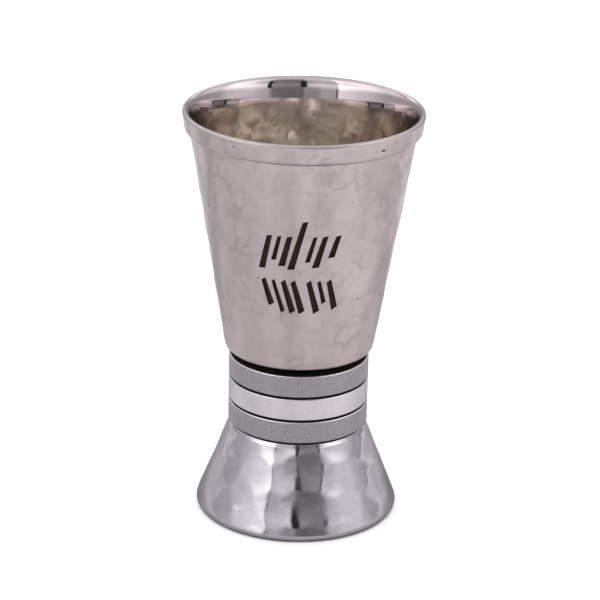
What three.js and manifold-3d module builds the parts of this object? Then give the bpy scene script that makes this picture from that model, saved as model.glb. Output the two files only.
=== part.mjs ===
// A small kiddush cup: a hammered steel bowl on three aluminium rings and a hammered aluminium foot.
// Millimetres, +Z up, origin on the table at the middle of the foot. The inscription's side faces -Y.
import * as THREE from 'three';
import { mergeVertices } from 'three/addons/utils/BufferGeometryUtils.js';
import Module from 'manifold-3d';

// ---- driving dimensions ----
const totalHeight = 80;
const aroundBowl = 60; // facets round the bowl, the foot and the rings
const gap = 0.35; // open joint between stacked pieces

const foot = {
  height: 17.55,
  topRadius: 13.1,
  bottomRadius: 19.94, // where the flank would meet the table
  edgeRadius: 1.0,
  topEdge: 0.3,
};

const ring = {
  count: 3,
  radius: 13.48,
  thickness: 4.35,
  edge: 0.22, // chamfer
};

const bowl = {
  bottom: 33.1, // underside of the floor
  cornerRadius: 0.8,
  bottomRadius: 14.2, // the wall's outer radius, carried down to the underside
  topRadius: 21.9, // the same, carried up to the lip
  sheet: 0.9, // wall thickness
  floor: 1.2,
  innerCorner: 2.2,
  bossRadius: 10.5, // low seat under the floor
};

const rim = {
  outerRadius: 22.68, // at the lip
  bandBottom: 75.9, // lower edge of the plain band
  bandRadius: 22.36, // the band's outer radius low down
  bandRound: 1.2, // the round under the band
  lipRound: 0.5,
  lipTopRadius: 22.15, // where the lip is level, between its inner and its outer rounding
  flareBottom: 75.2, // the inner wall opens out above this, up to the lip
  flareTop: 78.7,
  flareRadius: 21.05, // the inner wall's radius at flareTop
  flareLean: 20, // and its lean there, in degrees from upright
};

const dents = {
  bowl: { pitch: 4.6, depth: 0.13, wander: 0.5 },
  foot: { pitch: 5.2, depth: 0.16, wander: 0.5 },
};

const strokes = {
  depth: 0.45,
  broad: 1.25,
  thin: 0.9,
  taper: 0.78, // the upper end's width over the lower end's
  chisel: 0.35, // how far an end is cut aslant, over the width
  spread: 1.9, // between neighbouring strokes of a cluster
  rows: [
    {
      top: 61.5,
      lean: 14,
      clusters: [
        { start: -5.9, lengths: [7.3, 5.2, 6.4] },
        { start: 0.7, lengths: [7.2, 5.4, 6.6], rise: 3.1 },
        { start: 7, lengths: [4.6] },
      ],
    },
    {
      top: 52.3,
      lean: -14,
      clusters: [
        { start: -7, lengths: [5.4, 6.8, 6.8] },
        { start: -1.4, lengths: [6.8] },
        { start: 1.5, lengths: [6.8, 4.8, 6.2] },
      ],
    },
  ],
};

// ---- profiles: [radius, height] points ----
const degrees = Math.PI / 180;

function arc(radius, height, size, from, to, steps) {
  return Array.from({ length: steps + 1 }, (_, i) => {
    const angle = (from + ((to - from) * i) / steps) * degrees;
    return [radius + size * Math.cos(angle), height + size * Math.sin(angle)];
  });
}

function line(start, end, steps) {
  return Array.from({ length: steps - 1 }, (_, i) => {
    const t = (i + 1) / steps;
    return [start[0] + (end[0] - start[0]) * t, start[1] + (end[1] - start[1]) * t];
  });
}

// a smooth curve between two points, with its lean at each end in degrees from upright
function bend(start, startLean, end, endLean, steps) {
  const a = Math.tan(startLean * degrees);
  const b = Math.tan(endLean * degrees);
  const rise = (end[0] - start[0] - b * (end[1] - start[1])) / (a - b);
  const knee = [start[0] + a * rise, start[1] + rise];
  return Array.from({ length: steps + 1 }, (_, i) => {
    const t = i / steps;
    const [first, middle, last] = [(1 - t) ** 2, 2 * t * (1 - t), t * t];
    return start.map((value, axis) => first * value + middle * knee[axis] + last * end[axis]);
  });
}

// a profile turned round the Z axis, as one closed mesh with shared vertices
function turned(profile, around) {
  const points = profile.map(([radius, height]) => new THREE.Vector2(radius, height));
  const lathe = new THREE.LatheGeometry(points, around).rotateX(Math.PI / 2);
  lathe.deleteAttribute('normal');
  lathe.deleteAttribute('uv');
  const merged = mergeVertices(lathe, 1e-4);
  const corners = merged.getIndex().array;
  const kept = [];
  for (let i = 0; i < corners.length; i += 3) {
    const [a, b, c] = corners.slice(i, i + 3);
    if (a !== b && b !== c && c !== a) kept.push(a, b, c);
  }
  merged.setIndex(kept);
  return merged;
}

// ---- hammer marks ----
function scatter(row, column, salt) {
  const value = Math.sin(row * 127.1 + column * 311.7 + salt * 74.7) * 43758.5453;
  return value - Math.floor(value) - 0.5;
}

// one blow for each place of a staggered lattice over a cone, each a little out of its place
function blowsOnCone(radiusAt, low, high, { pitch, wander }) {
  const rows = Math.round((high - low) / (pitch * 0.87)) + 1;
  const blows = [];
  for (let row = 0; row < rows; row += 1) {
    const height = low + ((high - low) * row) / (rows - 1);
    const columns = Math.round((2 * Math.PI * radiusAt(height)) / pitch);
    for (let column = 0; column < columns; column += 1) {
      const turn = column + (row % 2) * 0.5 + wander * scatter(row, column, 1);
      const angle = (2 * Math.PI * turn) / columns;
      const z = height + wander * pitch * scatter(row, column, 2);
      const radius = radiusAt(z);
      blows.push(new THREE.Vector3(radius * Math.cos(angle), radius * Math.sin(angle), z));
    }
  }
  return blows;
}

// presses each blow's shallow bowl into the wall between low and high; the deepest one counts
function hammer(geometry, radiusAt, low, high, mark) {
  const blows = blowsOnCone(radiusAt, low, high, mark);
  const reach = mark.pitch * 0.72;
  const spot = new THREE.Vector3();
  const places = geometry.getAttribute('position');
  for (let i = 0; i < places.count; i += 1) {
    spot.fromBufferAttribute(places, i);
    const radius = Math.hypot(spot.x, spot.y);
    const onWall = Math.abs(radius - radiusAt(spot.z)) < 0.01 && spot.z > low && spot.z < high;
    if (onWall) {
      const nearest = Math.min(...blows.map((blow) => blow.distanceTo(spot)));
      const press = mark.depth * Math.max(0, 1 - (nearest / reach) ** 2);
      const scale = (radius - press) / radius;
      places.setXY(i, spot.x * scale, spot.y * scale);
    }
  }
}

// ---- the pieces ----
const footRadiusAt = (z) => foot.bottomRadius + ((foot.topRadius - foot.bottomRadius) * z) / foot.height;
const wallSlope = (bowl.topRadius - bowl.bottomRadius) / (totalHeight - bowl.bottom);
const wallRadiusAt = (z) => bowl.bottomRadius + wallSlope * (z - bowl.bottom);
const wallLean = Math.atan(wallSlope);

function makeFoot() {
  const flank = Math.atan((foot.bottomRadius - foot.topRadius) / foot.height);
  const edge = foot.edgeRadius;
  const edgeCentre = footRadiusAt(edge) - edge / Math.cos(flank);
  const lowerEdge = arc(edgeCentre, edge, edge, -90, flank / degrees, 4);
  const shoulder = [footRadiusAt(foot.height - foot.topEdge), foot.height - foot.topEdge];
  const profile = [
    [0, 0],
    ...lowerEdge,
    ...line(lowerEdge.at(-1), shoulder, 9),
    shoulder,
    [foot.topRadius - foot.topEdge, foot.height],
    [0, foot.height],
  ];
  const geometry = turned(profile, aroundBowl);
  hammer(geometry, footRadiusAt, lowerEdge.at(-1)[1] + 0.2, shoulder[1] - 0.2, dents.foot);
  return geometry;
}

function makeRing(bottom) {
  const top = bottom + ring.thickness;
  const profile = [
    [0, bottom],
    [ring.radius - ring.edge, bottom],
    [ring.radius, bottom + ring.edge],
    [ring.radius, top - ring.edge],
    [ring.radius - ring.edge, top],
    [0, top],
  ];
  return turned(profile, aroundBowl);
}

function bowlProfile(seat) {
  const lean = wallLean / degrees;
  const corner = bowl.cornerRadius;
  const cornerHeight = bowl.bottom + corner;
  const cornerCentre = wallRadiusAt(cornerHeight) - corner / Math.cos(wallLean);
  const outerCorner = arc(cornerCentre, cornerHeight, corner, -90, -lean, 3);
  const bandStart = [wallRadiusAt(rim.bandBottom), rim.bandBottom];
  const underBand = arc(
    rim.bandRadius - rim.bandRound,
    rim.bandBottom + rim.bandRound,
    rim.bandRound,
    -75,
    0,
    3,
  );
  const outerLip = arc(rim.outerRadius - rim.lipRound, totalHeight - rim.lipRound, rim.lipRound, 0, 90, 3);
  const innerAt = (z) => wallRadiusAt(z) - bowl.sheet / Math.cos(wallLean);
  const flareStart = [innerAt(rim.flareBottom), rim.flareBottom];
  const flareEnd = [rim.flareRadius, rim.flareTop];
  const flare = bend(flareStart, lean, flareEnd, rim.flareLean, 3);
  const nearlyLevel = 89.9;
  const innerLip = bend(flareEnd, rim.flareLean, [rim.lipTopRadius, totalHeight], nearlyLevel, 4);
  const round = bowl.innerCorner;
  const roundHeight = bowl.bottom + bowl.floor + round;
  const roundCentre = innerAt(roundHeight) - round / Math.cos(wallLean);
  const innerCorner = arc(roundCentre, roundHeight, round, -lean, -90, 4);
  return [
    [0, seat],
    [bowl.bossRadius, seat],
    [bowl.bossRadius, bowl.bottom],
    ...outerCorner,
    ...line(outerCorner.at(-1), bandStart, 19),
    bandStart,
    ...underBand,
    ...outerLip,
    ...innerLip.slice(0, -1).reverse(),
    ...flare.slice(0, -1).reverse(),
    ...innerCorner,
    [0, bowl.bottom + bowl.floor],
  ];
}

const wasm = await Module();
wasm.setup();

function asSolid(geometry) {
  const vertProperties = Float32Array.from(geometry.getAttribute('position').array);
  const triVerts = Uint32Array.from(geometry.getIndex().array);
  return new wasm.Manifold(new wasm.Mesh({ numProp: 3, vertProperties, triVerts }));
}

function asGeometry(solid) {
  const { vertProperties, triVerts } = solid.getMesh();
  const geometry = new THREE.BufferGeometry();
  geometry.setAttribute('position', new THREE.BufferAttribute(vertProperties, 3));
  geometry.setIndex(new THREE.BufferAttribute(triVerts, 1));
  return geometry;
}

// one chisel stroke as a tapered bar with slanted ends, hanging from its upper end
function strokeShape(length, width) {
  const upper = (width * strokes.taper) / 2;
  const lower = width / 2;
  const slant = width * strokes.chisel;
  return new THREE.Shape([
    new THREE.Vector2(-lower, -length - slant / 2),
    new THREE.Vector2(lower, -length + slant / 2),
    new THREE.Vector2(upper, slant / 2),
    new THREE.Vector2(-upper, -slant / 2),
  ]);
}

// lays a flat shape on the wall: along is the distance round from the front, top its upper end
function strokeCutter(along, top, lean, length, width) {
  const reach = 1.2;
  const cutter = new THREE.ExtrudeGeometry(strokeShape(length, width), {
    depth: reach,
    bevelEnabled: false,
  });
  const radius = wallRadiusAt(top);
  cutter.translate(0, 0, -strokes.depth);
  cutter.rotateZ(-lean * degrees);
  cutter.rotateX(Math.PI / 2 + wallLean);
  cutter.translate(0, -radius, top);
  cutter.rotateZ(along / radius);
  cutter.deleteAttribute('normal');
  cutter.deleteAttribute('uv');
  return asSolid(mergeVertices(cutter, 1e-4));
}

function makeBowl() {
  const ringsTop = foot.height + ring.count * (gap + ring.thickness);
  const geometry = turned(bowlProfile(ringsTop + gap), aroundBowl);
  const low = bowl.bottom + bowl.cornerRadius;
  hammer(geometry, wallRadiusAt, low + 0.2, rim.bandBottom - 0.2, dents.bowl);
  let solid = asSolid(geometry);
  for (const { top, lean, clusters } of strokes.rows) {
    for (const { start, lengths, rise = 0 } of clusters) {
      lengths.forEach((length, i) => {
        const width = i % 2 === 0 ? strokes.broad : strokes.thin;
        const lift = i === 0 ? rise : 0;
        const along = start + i * strokes.spread;
        solid = solid.subtract(strokeCutter(along, top + lift, lean, length + lift, width));
      });
    }
  }
  return asGeometry(solid);
}

// ---- the cup ----
const finishes = {
  steel: new THREE.MeshStandardMaterial({ color: 0xbdb4b2, roughness: 0.3, metalness: 1 }),
  greyAluminium: new THREE.MeshStandardMaterial({ color: 0x8f8f92, roughness: 0.55, metalness: 0.8 }),
  brightAluminium: new THREE.MeshStandardMaterial({ color: 0xdcdade, roughness: 0.2, metalness: 1 }),
  footAluminium: new THREE.MeshStandardMaterial({ color: 0xc9c8cf, roughness: 0.16, metalness: 1 }),
};

const cup = new THREE.Group();

function add(name, geometry, finish) {
  const mesh = new THREE.Mesh(geometry, finish);
  mesh.name = name;
  cup.add(mesh);
}

add('base', makeFoot(), finishes.footAluminium);
const ringNames = ['ring_lower', 'ring_middle', 'ring_upper'];
ringNames.forEach((name, i) => {
  const bottom = foot.height + gap + i * (ring.thickness + gap);
  const finish = name === 'ring_middle' ? finishes.brightAluminium : finishes.greyAluminium;
  add(name, makeRing(bottom), finish);
});
add('bowl', makeBowl(), finishes.steel);

export default cup;
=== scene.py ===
# A small kiddush cup: a hammered steel bowl, three aluminium rings and a hammered foot.
import math

import bmesh
import bpy
from mathutils import Matrix, Vector


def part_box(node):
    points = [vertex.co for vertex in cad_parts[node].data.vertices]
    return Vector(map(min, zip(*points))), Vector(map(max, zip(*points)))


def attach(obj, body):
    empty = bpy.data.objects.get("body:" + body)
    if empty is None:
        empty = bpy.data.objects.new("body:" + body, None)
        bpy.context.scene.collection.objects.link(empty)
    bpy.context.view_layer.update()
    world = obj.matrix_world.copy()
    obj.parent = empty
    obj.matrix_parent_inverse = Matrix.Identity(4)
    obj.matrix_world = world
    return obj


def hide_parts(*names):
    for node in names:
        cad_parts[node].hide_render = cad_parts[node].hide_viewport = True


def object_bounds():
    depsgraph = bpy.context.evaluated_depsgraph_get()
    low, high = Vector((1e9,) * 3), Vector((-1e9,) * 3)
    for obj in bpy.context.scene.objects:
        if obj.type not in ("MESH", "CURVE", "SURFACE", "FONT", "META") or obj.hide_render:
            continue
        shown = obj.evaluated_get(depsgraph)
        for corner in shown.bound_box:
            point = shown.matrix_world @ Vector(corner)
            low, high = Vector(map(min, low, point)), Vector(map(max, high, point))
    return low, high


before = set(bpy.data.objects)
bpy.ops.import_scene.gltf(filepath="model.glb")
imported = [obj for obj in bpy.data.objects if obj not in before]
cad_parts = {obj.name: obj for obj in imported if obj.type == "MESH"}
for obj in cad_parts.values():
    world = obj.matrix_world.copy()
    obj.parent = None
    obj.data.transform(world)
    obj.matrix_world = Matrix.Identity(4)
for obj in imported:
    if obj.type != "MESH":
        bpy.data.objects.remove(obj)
cadLow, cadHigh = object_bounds()
mm = 0.001  # metres in a millimetre
weld = 1e-7  # points closer than this, in metres, become one
guard = 0.1  # a row of points this far from a rounding keeps the flat beside it flat, in millimetres
sharpEdge = 40  # edges that turn by more than this many degrees stay crisp


# A profile is a list of (radius, height, hammered, inset), in millimetres. Hammered is how far the marks
# count there, and inset is how far inside the outer skin it lies.
def plain(points):
    return [(radius, height, 0.0, 0.0) for radius, height in points]


def arc(radius, height, size, start, end, steps):
    angles = [math.radians(start + (end - start) * i / steps) for i in range(steps + 1)]
    return [(radius + size * math.cos(a), height + size * math.sin(a)) for a in angles]


def bend(start, startLean, end, endLean, steps):
    # a smooth curve between two points; the leans are degrees from upright, at each end
    a, b = (math.tan(math.radians(lean)) for lean in (startLean, endLean))
    rise = (end[0] - start[0] - b * (end[1] - start[1])) / (a - b)
    knee = (start[0] + a * rise, start[1] + rise)
    shares = [i / steps for i in range(steps + 1)]
    return [tuple((1 - k) ** 2 * s + 2 * k * (1 - k) * m + k * k * e for s, m, e in zip(start, knee, end))
            for k in shares]


def along(start, end, step):
    # points strictly between two others, about a step apart
    count = max(1, round(math.dist(start, end) / step))
    return [tuple(s + (e - s) * i / count for s, e in zip(start, end)) for i in range(1, count)]


def smoothly(value, low, high):
    share = min(max((value - low) / (high - low), 0.0), 1.0)
    return share * share * (3 - 2 * share)


def hammeredWall(points, low, high, fade, inset=0.0):
    # the marks fade out towards the wall's plain ends
    made = []
    for radius, height in points:
        share = smoothly(height, low, low + fade) * (1 - smoothly(height, high - fade, high))
        made.append((radius, height, share, inset))
    return made


class Wiring:
    # short words for making and joining a tree's nodes

    def __init__(self, tree):
        self.tree = tree

    def node(self, kind, settings=None, **inputs):
        made = self.tree.nodes.new(kind)
        for name, value in (settings or {}).items():
            setattr(made, name, value)
        for name, value in inputs.items():
            self.feed(made.inputs[name.replace("_", " ")], value)
        return made

    def feed(self, socket, value):
        if isinstance(value, bpy.types.NodeSocket):
            self.tree.links.new(value, socket)
        else:
            socket.default_value = value

    def math(self, operation, *values):
        made = self.tree.nodes.new("ShaderNodeMath")
        made.operation = operation
        for socket, value in zip(made.inputs, values):
            self.feed(socket, value)
        return made.outputs["Value"]

    def vector(self, operation, *values):
        made = self.tree.nodes.new("ShaderNodeVectorMath")
        made.operation = operation
        for socket, value in zip(made.inputs, values):
            self.feed(socket, value)
        return made.outputs["Vector"]

    def scaled(self, vector, share):
        made = self.node("ShaderNodeVectorMath", {"operation": "SCALE"}, Vector=vector, Scale=share)
        return made.outputs["Vector"]

    def dot(self, vector, way):
        made = self.node("ShaderNodeVectorMath", {"operation": "DOT_PRODUCT"})
        self.feed(made.inputs[0], vector)
        self.feed(made.inputs[1], way)
        return made.outputs["Value"]

    def strayed(self, where, size, reach, detail=2.0):
        # moves each place aside by up to half the reach, in patches of about this size, in metres
        swirl = self.node("ShaderNodeTexNoise", Vector=where, Scale=1 / size, Detail=detail)
        aside = self.vector("SUBTRACT", swirl.outputs["Color"], (0.5, 0.5, 0.5))
        return self.vector("ADD", where, self.scaled(aside, reach))


def newObject(name, data):
    made = bpy.data.objects.new(name, data)
    bpy.context.scene.collection.objects.link(made)
    return made


treeSettings = {
    "crowding": 12.0,  # how densely marks are tried, before those too close to another are dropped
    "wanderSize": 4,  # the marks' outlines wander in patches of this size
    "faintest": 0.01,  # a mark needs the wall to be hammered at least this much
    "skin": 0.01,  # less inset than this is the outer skin
}


def hammeringTree(s):
    # turns a profile round the axis and presses hammer marks into it
    tree = bpy.data.node_groups.new("turnAndHammer", "GeometryNodeTree")
    face = tree.interface
    face.new_socket("Geometry", in_out="INPUT", socket_type="NodeSocketGeometry")
    for name, kind in (
        ("Around", "NodeSocketInt"),
        ("Mark Spacing", "NodeSocketFloat"),
        ("Mark Depth", "NodeSocketFloat"),
        ("Mark Reach", "NodeSocketFloat"),
        ("Mark Level", "NodeSocketFloat"),
        ("Wander", "NodeSocketFloat"),
        ("Unevenness", "NodeSocketFloat"),
        ("Softening", "NodeSocketInt"),
        ("Seed", "NodeSocketInt"),
        ("Finish", "NodeSocketMaterial"),
    ):
        face.new_socket(name, in_out="INPUT", socket_type=kind)
    face.new_socket("Geometry", in_out="OUTPUT", socket_type="NodeSocketGeometry")
    w = Wiring(tree)
    given = tree.nodes.new("NodeGroupInput").outputs
    spot = tree.nodes.new("GeometryNodeInputPosition").outputs[0]

    # a grid with one row for each point of the profile
    size = w.node("GeometryNodeAttributeDomainSize", Geometry=given["Geometry"])
    rows = size.outputs["Point Count"]
    grid = w.node("GeometryNodeMeshGrid", Size_X=1.0, Size_Y=1.0,
                  Vertices_X=w.math("ADD", given["Around"], 1), Vertices_Y=rows)
    place = w.node("ShaderNodeSeparateXYZ", Vector=spot)
    turn = w.math("ADD", place.outputs["X"], 0.5)
    climb = w.math("ADD", place.outputs["Y"], 0.5)
    row = w.math("ROUND", w.math("MULTIPLY", climb, w.math("SUBTRACT", rows, 1)))

    def ofProfile(value, kind):
        sample = w.node("GeometryNodeSampleIndex", {"data_type": kind, "domain": "POINT"},
                        Geometry=given["Geometry"], Value=value, Index=row)
        return sample.outputs["Value"]

    def named(name):
        made = w.node("GeometryNodeInputNamedAttribute", {"data_type": "FLOAT"}, Name=name)
        return made.outputs["Attribute"]

    def carried(geometry, name):
        # gives the grid one of the profile's values
        made = w.node("GeometryNodeStoreNamedAttribute", {"data_type": "FLOAT", "domain": "POINT"},
                      Geometry=geometry, Name=name, Value=ofProfile(named(name), "FLOAT"))
        return made.outputs["Geometry"]

    kept = carried(carried(grid.outputs["Mesh"], "hammered"), "inset")
    point = w.node("ShaderNodeSeparateXYZ", Vector=ofProfile(spot, "FLOAT_VECTOR"))
    angle = w.math("MULTIPLY", turn, 2 * math.pi)
    turned = w.node("ShaderNodeCombineXYZ",
                    X=w.math("MULTIPLY", point.outputs["X"], w.math("COSINE", angle)),
                    Y=w.math("MULTIPLY", point.outputs["X"], w.math("SINE", angle)),
                    Z=point.outputs["Z"])
    shaped = w.node("GeometryNodeSetPosition", Geometry=kept, Position=turned.outputs["Vector"])
    closed = w.node("GeometryNodeMergeByDistance", Geometry=shaped.outputs["Geometry"], Distance=weld)

    # the middles of the hammer marks, kept a spacing apart on the outer wall
    hammered, inset = named("hammered"), named("inset")
    outer = w.math("MULTIPLY", w.math("GREATER_THAN", hammered, s["faintest"]),
                   w.math("LESS_THAN", inset, s["skin"] * mm))
    spacing = given["Mark Spacing"]
    marks = w.node("GeometryNodeDistributePointsOnFaces", {"distribute_method": "POISSON"},
                   Mesh=closed.outputs["Geometry"], Selection=outer, Distance_Min=spacing,
                   Density_Max=w.math("DIVIDE", s["crowding"], w.math("MULTIPLY", spacing, spacing)),
                   Seed=given["Seed"])
    outward = w.vector("NORMALIZE", w.vector("MULTIPLY", spot, (1.0, 1.0, 0.0)))
    onSkin = w.vector("ADD", spot, w.scaled(outward, inset))
    aim = w.strayed(onSkin, s["wanderSize"] * mm, given["Wander"], detail=1.0)
    near = w.node("GeometryNodeProximity", {"target_element": "POINTS"}, Sample_Position=aim,
                  Geometry=marks.outputs["Points"])
    nearest = w.node("GeometryNodeSampleNearest", {"domain": "POINT"}, Geometry=marks.outputs["Points"],
                     Sample_Position=aim)
    chance = w.node("FunctionNodeRandomValue", {"data_type": "FLOAT"}, Seed=given["Seed"])
    chance.inputs[2].default_value = -1.0
    chance.inputs[3].default_value = 1.0
    luck = w.node("GeometryNodeSampleIndex", {"data_type": "FLOAT", "domain": "POINT"},
                  Geometry=marks.outputs["Points"], Value=chance.outputs[1],
                  Index=nearest.outputs["Index"]).outputs["Value"]
    depth = w.math("MULTIPLY", given["Mark Depth"],
                   w.math("ADD", 1.0, w.math("MULTIPLY", luck, given["Unevenness"])))

    # each mark is a shallow dish, deepest in its middle, and its level is where the plain wall lies
    share = w.math("DIVIDE", near.outputs["Distance"], given["Mark Reach"])
    dish = w.math("MAXIMUM", w.math("SUBTRACT", 1.0, w.math("MULTIPLY", share, share)), 0.0)
    pressed = w.math("SUBTRACT", dish, given["Mark Level"])
    press = w.math("MULTIPLY", w.math("MULTIPLY", depth, pressed), hammered)
    soft = w.node("GeometryNodeBlurAttribute", {"data_type": "FLOAT"}, Value=press,
                  Iterations=given["Softening"]).outputs["Value"]
    inward = w.scaled(outward, w.math("MULTIPLY", soft, -1.0))
    dented = w.node("GeometryNodeSetPosition", Geometry=closed.outputs["Geometry"], Offset=inward)
    real = w.node("GeometryNodeRealizeInstances", Geometry=dented.outputs["Geometry"])
    dressed = w.node("GeometryNodeSetMaterial", Geometry=real.outputs["Geometry"],
                     Material=given["Finish"])
    ends = tree.nodes.new("NodeGroupOutput")
    tree.links.new(dressed.outputs["Geometry"], ends.inputs["Geometry"])
    return tree


turnAndHammer = hammeringTree(treeSettings)

# for a piece without hammer marks
unmarked = {
    "spacing": 50.0,
    "depth": 0.0,
    "reach": 50.0,
    "level": 0.0,
    "wander": 0.0,
    "unevenness": 0.0,
    "softening": 0,
    "seed": 0,
}


def turnedPiece(name, profile, finish, around, hammering=None):
    line = bpy.data.meshes.new(name + "Line")
    line.from_pydata([(radius * mm, 0, height * mm) for radius, height, _, _ in profile],
                     [(i, i + 1) for i in range(len(profile) - 1)], [])
    for key, column, scale in (("hammered", 2, 1.0), ("inset", 3, mm)):
        values = line.attributes.new(key, "FLOAT", "POINT")
        values.data.foreach_set("value", [point[column] * scale for point in profile])
    source = newObject(name + "Source", line)
    marks = hammering or unmarked
    values = {
        "Around": around,
        "Mark Spacing": marks["spacing"] * mm,
        "Mark Depth": marks["depth"] * mm,
        "Mark Reach": marks["reach"] * mm,
        "Mark Level": marks["level"],
        "Wander": marks["wander"] * mm,
        "Unevenness": marks["unevenness"],
        "Softening": marks["softening"],
        "Seed": marks["seed"],
        "Finish": finish,
    }
    modifier = source.modifiers.new("turnAndHammer", "NODES")
    modifier.node_group = turnAndHammer
    for item in turnAndHammer.interface.items_tree:
        if item.in_out == "INPUT" and item.name in values:
            modifier[item.identifier] = values[item.name]
    evaluated = source.evaluated_get(bpy.context.evaluated_depsgraph_get())
    mesh = bpy.data.meshes.new_from_object(evaluated)
    mesh.name = name
    bpy.data.objects.remove(source)
    bpy.data.meshes.remove(line)
    tidyMesh(mesh)
    return newObject(name, mesh)


def tidyMesh(mesh):
    work = bmesh.new()
    work.from_mesh(mesh)
    bmesh.ops.remove_doubles(work, verts=work.verts, dist=weld)
    bmesh.ops.recalc_face_normals(work, faces=work.faces)
    work.to_mesh(mesh)
    work.free()
    mesh.shade_smooth()
    mesh.set_sharp_from_angle(angle=math.radians(sharpEdge))


# What the finishes are made of: every size and depth is in millimetres, on the object's own coordinates.
def newFinish(name):
    finish = bpy.data.materials.new(name)
    finish.use_nodes = True
    w = Wiring(finish.node_tree)
    w.tree.nodes.clear()
    shader = w.tree.nodes.new("ShaderNodeBsdfPrincipled")
    end = w.tree.nodes.new("ShaderNodeOutputMaterial")
    w.tree.links.new(shader.outputs[0], end.inputs["Surface"])
    where = w.tree.nodes.new("ShaderNodeTexCoord").outputs["Object"]
    return finish, w, shader, where


def metal(shader, share, edgeTint):
    shader.inputs["Metallic"].default_value = share
    shader.inputs["Specular Tint"].default_value = (*edgeTint, 1)


def dull(shader, roughness, shine=0.0):
    shader.inputs["Roughness"].default_value = roughness
    shader.inputs["Specular IOR Level"].default_value = shine


def noise(w, where, size, detail=2.0, roughness=0.5, stretch=(1, 1, 1)):
    # size is the width of a patch in millimetres
    moved = w.node("ShaderNodeMapping", Vector=where, Scale=stretch)
    made = w.node("ShaderNodeTexNoise", Vector=moved.outputs["Vector"], Scale=1 / (size * mm),
                  Detail=detail, Roughness=roughness)
    return made.outputs["Fac"]


def between(w, share, low, high, start=0.3, end=0.7):
    # low up to the start and high from the end on, which is where most of a noise lies
    made = w.node("ShaderNodeMapRange", Value=share)
    for name, value in (("From Min", start), ("From Max", end), ("To Min", low), ("To Max", high)):
        made.inputs[name].default_value = value
    return made.outputs["Result"]


def mixed(w, share, one, other):
    made = w.node("ShaderNodeMix", {"data_type": "RGBA"})
    w.feed(made.inputs[0], share)
    w.feed(made.inputs[6], one)
    w.feed(made.inputs[7], other)
    return made.outputs[2]


def tinted(w, share, one, other):
    # as mixed, for two plain colours
    return mixed(w, share, (*one, 1), (*other, 1))


def relief(w, height, deep, normal=None):
    made = w.node("ShaderNodeBump", Height=height, Distance=deep * mm, Strength=1.0)
    if normal is not None:
        w.feed(made.inputs["Normal"], normal)
    return made.outputs["Normal"]


def specks(w, where, spread, size):
    # sparse round dots, one in each cell of a scatter: 1 on a dot and 0 away from it
    cells = w.node("ShaderNodeTexVoronoi", Vector=where, Scale=1 / (spread * mm))
    return w.math("LESS_THAN", cells.outputs["Distance"], size / spread)


def creases(w, where, spread, width):
    # broken wandering lines, 1 on a line and 0 away from it
    aside = w.strayed(where, spread * 0.8 * mm, 0.9 * spread * mm)
    cells = w.node("ShaderNodeTexVoronoi", {"feature": "DISTANCE_TO_EDGE"}, Vector=aside,
                   Scale=1 / (spread * mm))
    lines = between(w, cells.outputs["Distance"], 1.0, 0.0, 0.0, width / spread)
    # wide patches without any break them up
    return w.math("MULTIPLY", lines, between(w, noise(w, where, 1.6 * spread), 0.0, 1.0, 0.48, 0.62))


nickSettings = {
    "azimuth": 40,  # from the front, positive to the right
    "radius": 22.36,
    "height": 77.8,
    "halfLength": 0.5,
    "halfWidth": 0.19,
    "reach": 1.0,  # how far inward and outward it counts
}


def nick(w, where, s):
    # one short dark cut along the rim band, 1 inside it and 0 elsewhere
    a = math.radians(s["azimuth"])
    sideways = Vector((math.cos(a), math.sin(a), 0))
    outward = Vector((math.sin(a), -math.cos(a), 0))
    upward = Vector((0, 0, 1))
    middle = (outward * s["radius"] + upward * s["height"]) * mm
    away = w.vector("SUBTRACT", where, middle)
    total = 0.0
    for way, half in ((sideways, s["halfLength"]), (outward, s["reach"]), (upward, s["halfWidth"])):
        part = w.dot(away, way / (half * mm))
        total = w.math("ADD", total, w.math("MULTIPLY", part, part))
    return w.math("LESS_THAN", total, 1.0)


steelEdge = (0.8, 0.78, 0.8)  # what steel reflects at a glancing angle
latheStretch = (0.05, 0.05, 1)  # draws a pattern out into rings round the axis
steelSettings = {
    "dark": (0.603, 0.527, 0.53),
    "light": (0.65, 0.57, 0.573),
    "cloudSize": 6.0,
    "haze": (0.95, 1.04),  # small patches are this much darker and lighter
    "hazeSize": 1.3,
    "hazeStretch": (1, 1, 0.6),
    "creaseSpread": 5.0,
    "creaseWidth": 0.6,
    # painted shade along the creases: how much darker a crease is
    "creaseShade": 0.16,
    "creaseDepth": 0.025,
    "pitColour": (0.06, 0.05, 0.05),
    "pitSpread": 3.5,
    "pitSize": 0.17,
    "roughness": (0.09, 0.15),
    "smearSize": 3.0,  # the patches of more and less polish
    "latheSize": 0.6,
    "latheDepth": 0.002,
    "rippleSize": 2.8,
    "rippleDepth": 0.04,
    "grainSize": 1.2,
    "grainDepth": 0.007,
}


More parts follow.
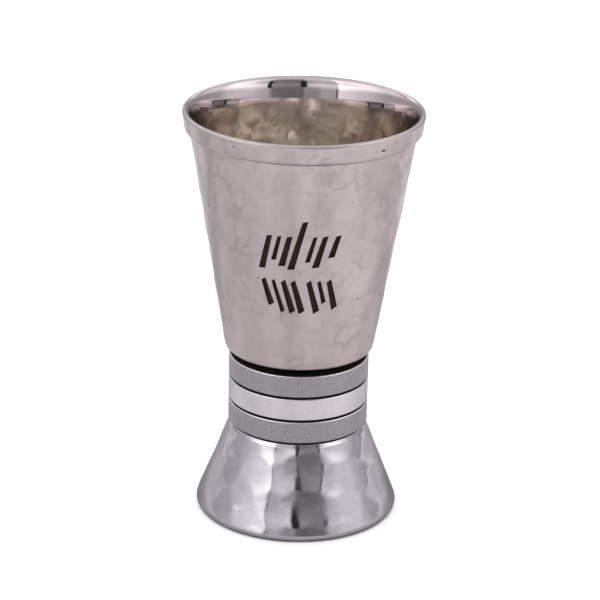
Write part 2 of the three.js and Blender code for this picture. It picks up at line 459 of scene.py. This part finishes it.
def steelFinish(s):
    # hammered and softly polished, with a few creases and pits, the creases darkened with painted shade
    finish, w, shader, where = newFinish("steel")
    metal(shader, 1.0, steelEdge)
    lines = creases(w, where, s["creaseSpread"], s["creaseWidth"])
    clouds = between(w, noise(w, where, s["cloudSize"], detail=3), 0.0, 1.0)
    haze = between(w, noise(w, where, s["hazeSize"], detail=3, stretch=s["hazeStretch"]), *s["haze"])
    hazeAndCreaseShade = w.math("MULTIPLY", haze, w.math("SUBTRACT", 1.0, w.math("MULTIPLY", lines, s["creaseShade"])))
    skin = w.scaled(tinted(w, clouds, s["dark"], s["light"]), hazeAndCreaseShade)
    pits = w.math("MAXIMUM", specks(w, where, s["pitSpread"], s["pitSize"]), nick(w, where, nickSettings))
    w.feed(shader.inputs["Base Color"], mixed(w, pits, skin, (*s["pitColour"], 1)))
    smears = noise(w, where, s["smearSize"], detail=2)
    w.feed(shader.inputs["Roughness"], between(w, smears, *s["roughness"]))
    lathe = relief(w, noise(w, where, s["latheSize"], detail=1, stretch=latheStretch), s["latheDepth"])
    marked = relief(w, lines, s["creaseDepth"], lathe)
    ripples = relief(w, noise(w, where, s["rippleSize"], detail=1), s["rippleDepth"], marked)
    grain = noise(w, where, s["grainSize"], detail=1)
    w.feed(shader.inputs["Normal"], relief(w, grain, s["grainDepth"], ripples))
    return finish


polishedPatterns = {
    "cloudSize": 5.0,
    "cloudStretch": (0.6, 0.6, 1.5),
    "smearSize": 3.0,
    "latheSize": 0.7,
    "rippleStretch": (0.7, 0.7, 1.2),
}


def polishedFinish(s):
    # smoother than the outside, with fine rings left by the lathe
    finish, w, shader, where = newFinish(s["name"])
    metal(shader, 0.97, steelEdge)
    clouds = between(w, noise(w, where, s["cloudSize"], detail=3, stretch=s["cloudStretch"]), 0.0, 1.0)
    w.feed(shader.inputs["Base Color"], tinted(w, clouds, s["dark"], s["light"]))
    smears = noise(w, where, s["smearSize"], detail=2)
    w.feed(shader.inputs["Roughness"], between(w, smears, *s["roughness"]))
    lathe = relief(w, noise(w, where, s["latheSize"], detail=1, stretch=latheStretch), s["latheDepth"])
    ripples = noise(w, where, s["rippleSize"], detail=1, stretch=s["rippleStretch"])
    w.feed(shader.inputs["Normal"], relief(w, ripples, s["rippleDepth"], lathe))
    return finish


# the inside's darker, browner colour and wide dark-to-light clouds are painted light: painted shade and
# highlights that stand for the reflections inside the bowl
insidePaintedLightSettings = {
    **polishedPatterns,
    "name": "steelInsidePaintedLight",
    "dark": (0.40, 0.345, 0.295),
    "light": (0.68, 0.615, 0.55),
    "roughness": (0.09, 0.14),
    "rippleSize": 4.4,
    "rippleDepth": 0.08,
    "latheDepth": 0.004,
}
flareSettings = {
    **polishedPatterns,
    "name": "steelFlare",
    "dark": (0.59, 0.525, 0.535),
    "light": (0.655, 0.585, 0.595),
    "roughness": (0.02, 0.05),
    "rippleSize": 5.0,
    "rippleDepth": 0.03,
    "latheDepth": 0.002,
}
lipSettings = {
    **polishedPatterns,
    "name": "steelLip",
    "dark": (0.57, 0.50, 0.51),
    "light": (0.63, 0.555, 0.565),
    "roughness": (0.34, 0.42),
    "rippleSize": 5.0,
    "rippleDepth": 0.03,
    "latheDepth": 0.002,
}


fillSettings = {
    "dark": (0.026, 0.0125, 0.0085),
    "light": (0.042, 0.022, 0.015),
    "patchSize": 0.5,
    "roughness": 0.7,
    "shine": 0.1,
    "grainSize": 0.2,
    "grainDepth": 0.01,
}


def fillFinish(s):
    # the dark brown in the strokes
    finish, w, shader, where = newFinish("darkFill")
    patches = between(w, noise(w, where, s["patchSize"]), 0.0, 1.0)
    w.feed(shader.inputs["Base Color"], tinted(w, patches, s["dark"], s["light"]))
    dull(shader, s["roughness"], s["shine"])
    w.feed(shader.inputs["Normal"], relief(w, noise(w, where, s["grainSize"]), s["grainDepth"]))
    return finish


# painted shade for the joints between pieces, where the gaps lie in shadow
jointFinishSettings = {
    "dark": (0.022, 0.018, 0.018),
    "light": (0.048, 0.04, 0.04),
    "patchSize": 0.6,
    "roughness": 0.8,
}


def jointFinish(s):
    # painted shade: the dull dark faces inside the joints, dark where shadow falls between the pieces
    finish, w, shader, where = newFinish("paintedJointShade")
    patches = between(w, noise(w, where, s["patchSize"]), 0.0, 1.0)
    w.feed(shader.inputs["Base Color"], tinted(w, patches, s["dark"], s["light"]))
    dull(shader, s["roughness"])
    return finish


greySettings = {
    "dark": (0.317, 0.298, 0.32),
    "light": (0.51, 0.483, 0.515),
    "grainSize": 0.24,
    "grainDepth": 0.006,
    "pitColour": (0.12, 0.11, 0.09),
    "pitSpread": 4.0,
    "pitSize": 0.17,
    "roughness": (0.42, 0.5),
    "smearSize": 1.0,
}


def greyFinish(s):
    # fine-grained satin, with a few pits
    finish, w, shader, where = newFinish("greyAluminium")
    metal(shader, 0.9, (1, 1, 1))
    grain = between(w, noise(w, where, s["grainSize"], detail=2, roughness=0.7), 0.0, 1.0, 0.35, 0.65)
    pits = specks(w, where, s["pitSpread"], s["pitSize"])
    satin = tinted(w, grain, s["dark"], s["light"])
    w.feed(shader.inputs["Base Color"], mixed(w, pits, satin, (*s["pitColour"], 1)))
    w.feed(shader.inputs["Roughness"], between(w, noise(w, where, s["smearSize"]), *s["roughness"]))
    w.feed(shader.inputs["Normal"], relief(w, noise(w, where, s["grainSize"], detail=1), s["grainDepth"]))
    return finish


brightSettings = {
    "dark": (0.78, 0.74, 0.78),
    "light": (0.84, 0.80, 0.84),
    "edgeTint": (0.7, 0.7, 0.7),
    "cloudSize": 3.0,
    "roughness": (0.2, 0.3),
    "brushSize": 1.6,
    "rippleSize": 0.8,
    "rippleDepth": 0.004,
}


def brightFinish(s):
    # turned bright and lightly brushed
    finish, w, shader, where = newFinish("brightAluminium")
    metal(shader, 1.0, s["edgeTint"])
    clouds = between(w, noise(w, where, s["cloudSize"], detail=3), 0.0, 1.0)
    w.feed(shader.inputs["Base Color"], tinted(w, clouds, s["dark"], s["light"]))
    brushed = noise(w, where, s["brushSize"], stretch=(1, 1, 6))
    w.feed(shader.inputs["Roughness"], between(w, brushed, *s["roughness"]))
    ripples = noise(w, where, s["rippleSize"], detail=1)
    w.feed(shader.inputs["Normal"], relief(w, ripples, s["rippleDepth"]))
    return finish


polishSettings = {
    "dark": (0.60, 0.57, 0.62),
    "light": (0.69, 0.66, 0.71),
    "edgeTint": (0.6, 0.6, 0.6),
    "cloudSize": 2.4,
    "roughness": (0.07, 0.13),
    "smearSize": 1.8,
    "grainSize": 0.3,
    "grainDepth": 0.0012,
    "rippleSize": 2.2,
    "rippleDepth": 0.02,
}


def footFinish(s):
    # polished after hammering
    finish, w, shader, where = newFinish("footAluminium")
    metal(shader, 1.0, s["edgeTint"])
    clouds = between(w, noise(w, where, s["cloudSize"], detail=3), 0.0, 1.0)
    w.feed(shader.inputs["Base Color"], tinted(w, clouds, s["dark"], s["light"]))
    smears = noise(w, where, s["smearSize"], detail=3)
    w.feed(shader.inputs["Roughness"], between(w, smears, *s["roughness"]))
    grain = relief(w, noise(w, where, s["grainSize"], detail=1), s["grainDepth"])
    ripples = noise(w, where, s["rippleSize"], detail=1)
    w.feed(shader.inputs["Normal"], relief(w, ripples, s["rippleDepth"], grain))
    return finish


finishes = {
    "steel": steelFinish(steelSettings),
    "inside": polishedFinish(insidePaintedLightSettings),
    "flare": polishedFinish(flareSettings),
    "lip": polishedFinish(lipSettings),
    "fill": fillFinish(fillSettings),
    "joint": jointFinish(jointFinishSettings),
    "grey": greyFinish(greySettings),
    "bright": brightFinish(brightSettings),
    "foot": footFinish(polishSettings),
}
print("finishes made")


def dress(mesh, finish, chosen):
    # gives another finish to the faces chosen by their middle's radius and height
    mesh.materials.append(finish)
    for face in mesh.polygons:
        middle = face.center / mm
        if chosen(math.hypot(middle.x, middle.y), middle.z):
            face.material_index = len(mesh.materials) - 1


footSettings = {
    "bottomRadius": 19.94,
    "topRadius": 13.1,
    "edgeRadius": 1.0,  # rounding of the lower edge
    "topEdge": 0.3,  # rounding of the upper edge
    "around": 288,  # points in each row round the axis
    "step": 0.3,  # between rows on the flank
    "flatStep": 3,  # between rows on the underside
    "topRow": 1.0,  # how far in from the upper edge the top face has a row
    "fade": 1.6,  # over this height the marks fade out at each end
    "hammering": {
        "spacing": 5.0,
        "depth": 0.19,
        "reach": 4.4,
        "level": 0.75,
        "wander": 2.0,
        "unevenness": 0.5,
        "softening": 4,
        "seed": 5,
    },
}


def makeFoot(s):
    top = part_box("base")[1].z / mm
    slope = (s["topRadius"] - s["bottomRadius"]) / top
    lean = math.degrees(math.atan(-slope))
    edge = s["edgeRadius"]

    def flankAt(height):
        return s["bottomRadius"] + slope * height

    edgeCentre = flankAt(edge) - edge / math.cos(math.radians(lean))
    lowerEdge = arc(edgeCentre, edge, edge, -90, lean, steps=8)
    shoulder = top - s["topEdge"]
    upperEdge = arc(s["topRadius"] - s["topEdge"], shoulder, s["topEdge"], 10, 90, steps=5)
    flank = along(lowerEdge[-1], (flankAt(shoulder), shoulder), s["step"])
    under = along((0, 0), lowerEdge[0], s["flatStep"])
    profile = plain([(0, 0), *under, (lowerEdge[0][0] - guard, 0), *lowerEdge])
    profile += hammeredWall(flank, lowerEdge[-1][1], shoulder, s["fade"])
    profile += plain([*upperEdge, (s["topRadius"] - s["topRow"], top), (0, top)])
    piece = turnedPiece("footHammered", profile, finishes["foot"], s["around"], s["hammering"])
    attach(piece, "root")
    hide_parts("base")
    return piece


makeFoot(footSettings)
print("foot made")

ringSettings = {
    "edge": 0.22,  # rounding of the rims
    "shadeRim": 0.9,  # share of the lower rounding painted dark as the joint's shade
    "shadeRadius": 11.6,  # painted shade covers the upper ring's top face inside this radius; from here outwards it is clean metal
    "hubInset": 0.75,  # how far in from the rim the face starts that rests on the next piece
    "hubRow": 0.3,  # how far in from the hub's edge its face has a row
    "around": 256,
    "step": 1,
    "rest": 0.01,  # what stays open between two resting faces
}


def makeRing(node, finish, below, covered, s):
    # a hub under each ring reaches down to the piece below, so no light passes between them
    low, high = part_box(node)
    radius, bottom, top = high.x / mm, low.z / mm, high.z / mm
    edge = s["edge"]
    hub = radius - s["hubInset"]
    seat = below + s["rest"]
    rimLow = (radius, bottom + edge + guard)
    rimHigh = (radius, top - edge - guard)
    points = [(0, seat), (hub - s["hubRow"], seat), (hub, seat), (hub, bottom), (hub + guard, bottom)]
    points += arc(radius - edge, bottom + edge, edge, -90, 0, steps=6)
    points += [rimLow, *along(rimLow, rimHigh, s["step"]), rimHigh]
    points += arc(radius - edge, top - edge, edge, 0, 90, steps=6)
    points += [(radius - edge - guard, top), (radius / 2, top), (0, top)]
    piece = turnedPiece(node + "Turned", plain(points), finish, s["around"])
    # painted shade: the lower rounding and the faces inside the joints turn dark, where shadow falls
    # between the pieces
    shadeBelow = bottom + s["shadeRim"] * edge
    shadeInside = radius - edge if covered else s["shadeRadius"]
    dress(piece.data, finishes["joint"],
          lambda r, z: z < shadeBelow or (r < shadeInside and z > bottom))
    if finish != finishes["bright"]:  # the top rim is turned bright, and its lighter colour is also a painted highlight along the top edge
        dress(piece.data, finishes["bright"], lambda r, z: r > radius - edge and z > top - edge)
    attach(piece, "root")
    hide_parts(node)
    return top


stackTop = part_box("base")[1].z / mm
for ringNode, ringFinish, ringSlot, ringCovered in (
    ("ring_lower", "grey", "grey_aluminium", True),
    ("ring_middle", "bright", "bright_aluminium", True),
    ("ring_upper", "grey", "grey_aluminium", False),
):
    stackTop = makeRing(ringNode, finishes[ringFinish], stackTop, ringCovered, ringSettings)
print("rings made")

bowlSettings = {
    "bottom": 33.1,
    "bottomRadius": 14.2,
    "topRadius": 21.9,  # of the plain wall, if it went on up to the rim
    "corner": 0.8,
    "sheet": 0.9,
    "floor": 1.2,  # how thick the floor is
    "innerCorner": 2.2,
    "bossRadius": 10.5,  # the round seat under the bowl
    "shadeRise": 0.01,  # everything up to this height over the bottom gets painted shade, dull and dark
    "bandBottom": 75.9,
    "bandRadius": 22.36,
    "bandRound": 1.2,
    "bandTuck": -75,  # the angle at which the band's rounding leaves the wall
    "bandStep": 0.5,
    "lipRound": 0.5,
    "lipTopRadius": 22.15,  # where the lip is level, between its inner and its outer rounding
    "flareBottom": 75.2,  # the inner wall opens out above this, smooth, up to the lip
    "flareTop": 78.7,
    "flareRadius": 21.05,
    "flareLean": 20,
    "levelLean": 89.9,  # the flare ends all but level, because a level line has no finite lean
    "brownTop": 76.1,  # the inside is browner below this, with its painted shade and highlights
    "around": 288,
    "step": 0.3,
    "fade": 1.5,
    "innerFade": 4.0,
    "hammering": {
        "spacing": 4.2,
        "depth": 0.11,
        "reach": 3.7,
        "level": 0.75,
        "wander": 3.6,
        "unevenness": 0.7,
        "softening": 1,
        "seed": 11,
    },
}
strokeSettings = {
    "depth": 0.45,
    "proud": 1.0,  # how far the cutters stand out of the wall
    "broad": 1.25,
    "thin": 0.9,
    "taper": 0.78,  # width at the upper end, as a share of the lower end's
    "chisel": 0.35,  # how far the ends slant, as a share of the width
    "spread": 1.9,  # from one stroke to the next
    # top is the height where a row starts, lean is in degrees, each start is measured round the wall from
    # the front's middle, and rise makes a cluster's first stroke taller
    "rows": [
        {"top": 61.5, "lean": 14, "clusters": [
            {"start": -5.9, "lengths": [7.3, 5.2, 6.4]},
            {"start": 0.7, "lengths": [7.2, 5.4, 6.6], "rise": 3.1},
            {"start": 7.0, "lengths": [4.6]},
        ]},
        {"top": 52.3, "lean": -14, "clusters": [
            {"start": -7.0, "lengths": [5.4, 6.8, 6.8]},
            {"start": -1.4, "lengths": [6.8]},
            {"start": 1.5, "lengths": [6.8, 4.8, 6.2]},
        ]},
    ],
}


def wallSlope(s):
    return (s["topRadius"] - s["bottomRadius"]) / (cadHigh.z / mm - s["bottom"])


def wallRadius(s, height):
    # of the plain wall's outer skin
    return s["bottomRadius"] + wallSlope(s) * (height - s["bottom"])


def bowlProfile(s, seat):
    top, rimRadius = cadHigh.z / mm, cadHigh.x / mm
    lean = math.atan(wallSlope(s))
    leanDegrees = math.degrees(lean)
    skin = s["sheet"] / math.cos(lean)
    corner, bottom, band = s["corner"], s["bottom"], s["bandBottom"]
    cornerMiddle = wallRadius(s, bottom + corner) - corner / math.cos(lean)
    outerCorner = arc(cornerMiddle, bottom + corner, corner, -90, -leanDegrees, steps=6)
    bandStart = (wallRadius(s, band), band)
    under = s["bandRound"]
    underBand = arc(s["bandRadius"] - under, band + under, under, s["bandTuck"], 0, steps=8)
    lip = s["lipRound"]
    outerLip = arc(rimRadius - lip, top - lip, lip, 0, 90, steps=6)
    flareStart = (wallRadius(s, s["flareBottom"]) - skin, s["flareBottom"])
    flareEnd = (s["flareRadius"], s["flareTop"])
    flare = bend(flareStart, leanDegrees, flareEnd, s["flareLean"], steps=14)
    innerLip = bend(flareEnd, s["flareLean"], (s["lipTopRadius"], top), s["levelLean"], steps=14)
    inner = s["innerCorner"]
    floor = bottom + s["floor"]
    innerMiddle = wallRadius(s, floor + inner) - skin - inner / math.cos(lean)
    innerCorner = arc(innerMiddle, floor + inner, inner, -leanDegrees, -90, steps=10)
    boss, floorEdge = s["bossRadius"], innerCorner[-1][0]
    low = outerCorner[-1][1]
    innerWall = [flareStart, *along(flareStart, innerCorner[0], s["step"])]
    profile = plain([(0, seat), (boss, seat), (boss, bottom), (boss + guard, bottom)])
    profile += plain([(outerCorner[0][0] - guard, bottom), *outerCorner])
    profile += hammeredWall(along(outerCorner[-1], bandStart, s["step"]), low, band, s["fade"])
    profile += plain([bandStart, *underBand, *along(underBand[-1], outerLip[0], s["bandStep"]), *outerLip])
    profile += plain([*reversed(innerLip), *reversed(flare[1:-1])])
    profile += hammeredWall(innerWall, low, s["flareBottom"], s["innerFade"], skin)
    profile += plain([*innerCorner, (floorEdge - guard, floor), (floorEdge / 2, floor), (0, floor)])
    return profile


def strokeCutters(s, bowl):
    # tapered bars with slanted ends, stood in the wall's own slope round the front
    lean = math.atan(wallSlope(bowl))
    work = bmesh.new()
    for row in s["rows"]:
        for cluster in row["clusters"]:
            for i, length in enumerate(cluster["lengths"]):
                width = s["broad"] if i % 2 == 0 else s["thin"]
                lift = cluster.get("rise", 0) if i == 0 else 0
                height = row["top"] + lift
                radius = wallRadius(bowl, height)
                turn = (cluster["start"] + i * s["spread"]) / radius
                upper = width * s["taper"] / 2
                lower = width / 2
                slant = width * s["chisel"] / 2
                reach = length + lift
                corners = [(-lower, -reach - slant), (lower, -reach + slant),
                           (upper, slant), (-upper, -slant)]
                stand = (Matrix.Rotation(turn, 4, "Z") @ Matrix.Translation((0, -radius, height))
                         @ Matrix.Rotation(math.pi / 2 + lean, 4, "X")
                         @ Matrix.Rotation(math.radians(-row["lean"]), 4, "Z"))
                ends = [[work.verts.new(mm * (stand @ Vector((x, y, deep)))) for x, y in corners]
                        for deep in (-s["depth"], s["proud"])]
                work.faces.new(reversed(ends[0]))
                work.faces.new(ends[1])
                for a in range(4):
                    b = (a + 1) % 4
                    work.faces.new((ends[0][a], ends[0][b], ends[1][b], ends[1][a]))
    mesh = bpy.data.meshes.new("strokeCutters")
    work.to_mesh(mesh)
    work.free()
    mesh.materials.append(finishes["fill"])
    return newObject("strokeCutters", mesh)


def makeBowl(s, strokes, below):
    profile = bowlProfile(s, below + ringSettings["rest"])
    piece = turnedPiece("bowlHammered", profile, finishes["steel"], s["around"], s["hammering"])
    midFloor = s["bottom"] + s["floor"] / 2
    lipBottom = cadHigh.z / mm - s["lipRound"]
    # painted shade on the bowl's underside and seat, over the dark gap above the upper ring
    dress(piece.data, finishes["joint"], lambda r, z: z < s["bottom"] + s["shadeRise"])
    dress(piece.data, finishes["inside"],
          lambda r, z: midFloor < z < s["brownTop"] and r < wallRadius(s, z) - s["sheet"] / 2)
    dress(piece.data, finishes["flare"], lambda r, z: z > s["brownTop"] and r < s["lipTopRadius"])
    dress(piece.data, finishes["lip"], lambda r, z: z > lipBottom and r > s["lipTopRadius"])
    cutters = strokeCutters(strokes, s)
    cut = piece.modifiers.new("cutStrokes", "BOOLEAN")
    cut.operation = "DIFFERENCE"
    cut.solver = "EXACT"
    cut.object = cutters
    cut.material_mode = "TRANSFER"
    evaluated = piece.evaluated_get(bpy.context.evaluated_depsgraph_get())
    mesh = bpy.data.meshes.new_from_object(evaluated)
    piece.modifiers.clear()
    piece.data = mesh
    mesh.name = "bowlHammered"
    mesh.set_sharp_from_angle(angle=math.radians(sharpEdge))
    bpy.data.objects.remove(cutters)
    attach(piece, "root")
    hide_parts("bowl")
    return piece


makeBowl(bowlSettings, strokeSettings, stackTop)
print("bowl made")

studioSettings = {
    "floorSize": 2.0,
    "floorShade": (0.9, 0.9, 0.9),
    "paperRoughness": 0.9,
    "sweepBright": (0.53, 0.525, 0.53),  # the paper that only shows in reflections, in front; its shades here and below are painted light
    "sweepDim": (0.385, 0.38, 0.385),
    "sweepWay": (0.4, -0.92, 0.0),  # its painted light brightens this way
    "sweepSize": 4.0,
    "sweepLift": 0.02,  # over the floor, in millimetres
    "sweepReach": 120,  # how far from the axis these shades lie, in millimetres
    "sweepLightPatches": (60, 0.15),  # patches of painted light: their size in millimetres, and how much they differ
    # painted light behind the cup: from the first distance on it turns lighter, up to this share at the
    # second
    "sweepBack": (75, 125, 1.35),
    # painted shadow round the foot: out to the first radius only this share is left, and from the second
    # on it is whole
    "sweepFootShadow": (22, 52, 0.8),
    "ceiling": 0.8,
    "ceilingRise": (42, 62),  # elevations between which the walls turn into the ceiling
    "wallLift": (0.80, 1.75),  # the walls' share of their brightness, low down and higher up
    "wallRise": (13.3, 23.8),
    "roomTint": (1.0, 0.985, 1.0),
    # brightness of the walls at each azimuth, from the front and positive to the right
    "walls": [
        (-180, 0.45), (-120, 0.60), (-92, 0.64), (-72, 1.0), (-48, 1.30), (-37, 1.50), (-35, 0.66),
        (-20, 0.68), (-1, 0.56), (1, 0.22), (18, 0.22), (34, 0.27), (39, 0.72), (58, 1.02), (76, 1.05),
        (86, 0.95), (97, 0.62), (120, 0.54), (180, 0.45),
    ],
    # what stands in the room: azimuth, half width, lowest and highest elevation, and its share of the
    # walls' light
    "stands": [
        (0.8, 4.4, 17.2, 36, 0.03), (37, 3.0, 16.6, 40, 0.03), (-34, 0.8, 5, 15, 0.03),
        (-9, 10, -5, 15.5, 0.75), (0, 80, 25, 45, 0.6),
        (-156, 9, 25, 60, 2.4), (163, 6, 25, 60, 2.4),
        (-176, 7, 25, 60, 0.4), (140, 7, 25, 60, 0.4), (-132, 8, 25, 60, 0.4),
    ],
    "standSide": 0.6,  # a stand is full out to this share of its half width
    "standFade": (1.5, 2),  # degrees over which its lower and its upper end fade
    # the lamp over the cup: where it hangs, in degrees and metres, its size, and its own brightness
    "overhead": {"azimuth": 180, "elevation": 80, "distance": 1.0, "width": 1.2, "height": 1.2,
                 "strength": 2.2},
    "backdrop": 1.9,  # the radius of the white surround that only the camera sees, in metres
}


def flatSheet(name, half, height, finish):
    corners = ((-half, -half), (half, -half), (half, half), (-half, half))
    mesh = bpy.data.meshes.new(name)
    mesh.from_pydata([(x, y, height) for x, y in corners], [], [(0, 1, 2, 3)])
    mesh.materials.append(finish)
    sheet = newObject(name, mesh)
    return sheet


def makeFloor(s):
    # the floor that the camera sees, and a greyer paper sweep that only the polished metal reflects, whose
    # colour is painted light and shadow
    finish, _, shader, _ = newFinish("paleFloor")
    shader.inputs["Base Color"].default_value = (*s["floorShade"], 1)
    dull(shader, s["paperRoughness"])
    floor = flatSheet("floor", s["floorSize"] / 2, 0, finish)
    floor.visible_glossy = False

    finish, w, shader, where = newFinish("paintedLightSweep")
    # painted light on the sweep: brighter in front and far behind, in patches, with a painted shadow round
    # the foot
    reach = s["sweepReach"] * mm
    ahead = between(w, w.dot(where, s["sweepWay"]), 0.0, 1.0, -reach, reach)
    shade = tinted(w, ahead, s["sweepDim"], s["sweepBright"])
    patchSize, differ = s["sweepLightPatches"]
    patches = between(w, noise(w, where, patchSize, detail=1), -differ, differ)
    near, far, left = s["sweepFootShadow"]
    away = w.node("ShaderNodeVectorMath", {"operation": "LENGTH"}, Vector=where).outputs["Value"]
    paintedFootShadow = between(w, away, left, 1.0, near * mm, far * mm)
    start, full, lighter = s["sweepBack"]
    behind = w.node("ShaderNodeSeparateXYZ", Vector=where).outputs["Y"]
    shaded = w.math("MULTIPLY", paintedFootShadow, between(w, behind, 1.0, lighter, start * mm, full * mm))
    lit = w.scaled(shade, w.math("MULTIPLY", shaded, w.math("ADD", 1.0, patches)))
    w.feed(shader.inputs["Base Color"], lit)
    dull(shader, s["paperRoughness"])
    sweep = flatSheet("paintedLightSweep", s["sweepSize"] / 2, s["sweepLift"] * mm, finish)
    sweep.visible_camera = sweep.visible_diffuse = sweep.visible_shadow = False


def makeBackdrop(s):
    # plain white all round, seen by the camera alone
    finish = bpy.data.materials.new("whiteSurround")
    finish.use_nodes = True
    w = Wiring(finish.node_tree)
    w.tree.nodes.clear()
    glow = w.node("ShaderNodeEmission", Strength=1.0)
    end = w.tree.nodes.new("ShaderNodeOutputMaterial")
    w.tree.links.new(glow.outputs[0], end.inputs["Surface"])
    work = bmesh.new()
    bmesh.ops.create_uvsphere(work, u_segments=48, v_segments=24, radius=s["backdrop"])
    mesh = bpy.data.meshes.new("surround")
    work.to_mesh(mesh)
    work.free()
    mesh.materials.append(finish)
    surround = newObject("surround", mesh)
    surround.visible_diffuse = surround.visible_glossy = surround.visible_shadow = False
    surround.visible_transmission = surround.visible_volume_scatter = False


def softbox(name, s):
    # azimuth is from the front, positive to the right
    light = bpy.data.lights.new(name, "AREA")
    light.shape = "RECTANGLE"
    light.size = s["width"]
    light.size_y = s["height"]
    light.energy = s["strength"] * s["width"] * s["height"] * math.pi
    lamp = newObject(name, light)
    a, e = math.radians(s["azimuth"]), math.radians(s["elevation"])
    toward = Vector((math.sin(a) * math.cos(e), -math.cos(a) * math.cos(e), math.sin(e)))
    lamp.location = toward * s["distance"]
    lamp.rotation_euler = toward.to_track_quat("Z", "Y").to_euler()
    lamp.visible_camera = lamp.visible_glossy = False


def makeLight(s):
    # a soft room: walls of different brightness all round, under an even ceiling
    world = bpy.data.worlds.new("softRoom")
    bpy.context.scene.world = world
    world.use_nodes = True
    w = Wiring(world.node_tree)
    around = w.tree.nodes.new("ShaderNodeTexCoord").outputs["Generated"]
    way = w.node("ShaderNodeSeparateXYZ", Vector=around)
    azimuth = w.math("ARCTAN2", way.outputs["X"], w.math("MULTIPLY", way.outputs["Y"], -1.0))
    ramp = w.node("ShaderNodeValToRGB", Fac=w.math("ADD", w.math("DIVIDE", azimuth, 2 * math.pi), 0.5))
    stops = ramp.color_ramp.elements
    while len(stops) < len(s["walls"]):
        stops.new(0.5)
    strongest = max(shade for angle, shade in s["walls"])
    for stop, (angle, shade) in zip(stops, s["walls"]):
        stop.position = angle / 360 + 0.5
        stop.color = (*(shade / strongest * tint for tint in s["roomTint"]), 1)

    def rising(low, high, angles):
        # from low to high between two elevations
        start, end = (math.sin(math.radians(angle)) for angle in angles)
        return between(w, way.outputs["Z"], low, high, start, end)

    share = rising(*s["wallLift"], s["wallRise"])
    lowFade, highFade = s["standFade"]
    for angle, half, lowest, highest, kept in s["stands"]:
        aside = w.math("ABSOLUTE", w.math("SUBTRACT", azimuth, math.radians(angle)))
        there = between(w, aside, 1.0, 0.0, math.radians(half * s["standSide"]), math.radians(half))
        there = w.math("MULTIPLY", there, rising(0.0, 1.0, (lowest - lowFade, lowest)))
        there = w.math("MULTIPLY", there, rising(1.0, 0.0, (highest, highest + highFade)))
        share = w.math("MULTIPLY", share, w.math("ADD", 1.0, w.math("MULTIPLY", there, kept - 1.0)))
    walls = w.scaled(ramp.outputs["Color"], share)
    ceiling = (*(s["ceiling"] / strongest * tint for tint in s["roomTint"]), 1)
    background = world.node_tree.nodes["Background"]
    w.feed(background.inputs["Color"], mixed(w, rising(0.0, 1.0, s["ceilingRise"]), walls, ceiling))
    background.inputs["Strength"].default_value = strongest
    softbox("overhead", s["overhead"])


cameraSettings = {
    "sensor": 36,
    "lens": 152.5,
    "place": (0, -0.4527, 0.2181),  # metres
    "down": 21.26,  # degrees below level
    "roll": 1.27,
    "clip": (0.01, 20),
}


def makeCamera(s):
    camera = bpy.data.cameras.new("camera")
    camera.sensor_width = s["sensor"]
    camera.lens = s["lens"]
    camera.clip_start, camera.clip_end = s["clip"]
    holder = newObject("camera", camera)
    holder.matrix_world = (Matrix.Translation(s["place"])
                           @ Matrix.Rotation(math.radians(90 - s["down"]), 4, "X")
                           @ Matrix.Rotation(math.radians(s["roll"]), 4, "Z"))
    bpy.context.scene.camera = holder


makeFloor(studioSettings)
makeBackdrop(studioSettings)
makeLight(studioSettings)
makeCamera(cameraSettings)
bpy.context.scene.view_settings.view_transform = "Standard"
print("stage, light and camera made")
